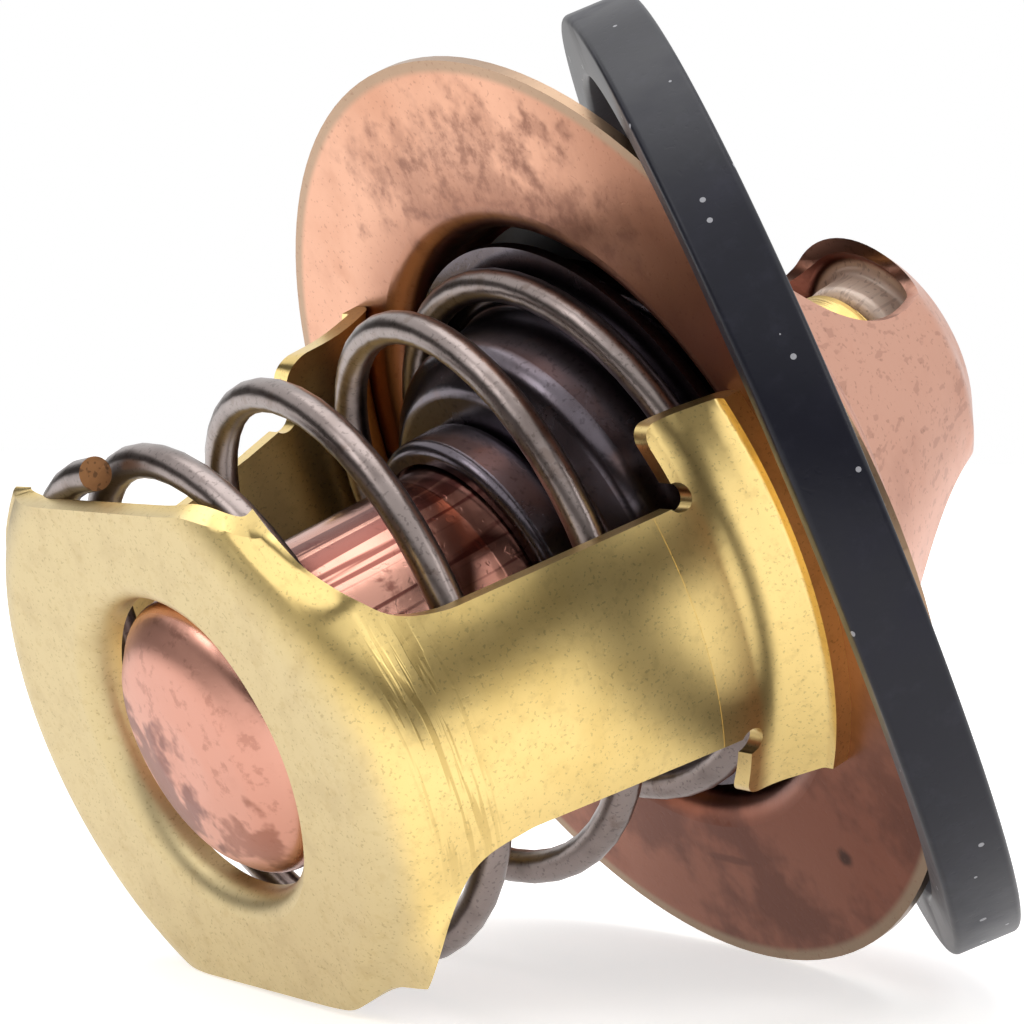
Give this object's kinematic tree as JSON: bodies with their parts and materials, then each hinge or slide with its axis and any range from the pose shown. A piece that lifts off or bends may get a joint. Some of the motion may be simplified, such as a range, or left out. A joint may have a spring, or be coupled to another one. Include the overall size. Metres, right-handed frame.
{
  "type": "engine thermostat",
  "caption": "Wax-driven coolant valve: drawn flange with an open crown, sprung valve plate on a guide, folded yoke, temperature capsule and a loose square-section sealing ring.",
  "frame": {"origin": "centre of the mounting rim, on the face of the flange that the yoke lies on", "axes": "+Z along the valve's axis towards the crown, +X towards one arm of the yoke"},
  "size_m": [0.061, 0.0541, 0.0499],
  "materials": {
    "copper_sheet": "drawn copper sheet, satin, slightly tarnished",
    "copper_cup": "drawn copper, polished, with dark marks",
    "brass_sheet": "pressed brass sheet, satin",
    "turned_brass": "turned brass",
    "spring_steel": "drawn steel wire, satin",
    "dark_steel": "blackened pressed steel",
    "piston_steel": "ground steel",
    "ring_rubber": "moulded rubber, satin",
    "seal_rubber": "moulded rubber",
    "wax": "wax mixed with metal powder",
    "washer_plastic": "white low-friction plastic"
  },
  "bodies": {
    "frame": {"flange_body": "copper_sheet", "lower_frame": "brass_sheet", "sealing_ring": "ring_rubber", "return_spring": "spring_steel", "piston_pin": "piston_steel"},
    "valve": {"spring_cup": "dark_steel", "valve_plate": "dark_steel", "valve_seal": "seal_rubber", "retaining_ring": "turned_brass", "guide_bush": "turned_brass", "clamp_collar": "dark_steel", "capsule_cup": "copper_cup", "wax_charge": "wax", "diaphragm": "seal_rubber", "rubber_plug": "seal_rubber", "backing_washer": "washer_plastic"}
  },
  "joints": [
    {"name": "valve_slide", "type": "slide", "parent": "frame", "child": "valve", "axis": [0, 0, -1], "range_m": [0, 0.008], "stiffness_N_per_m": 1600, "springref_m": -0.012, "deforming": ["return_spring"]}
  ]
}
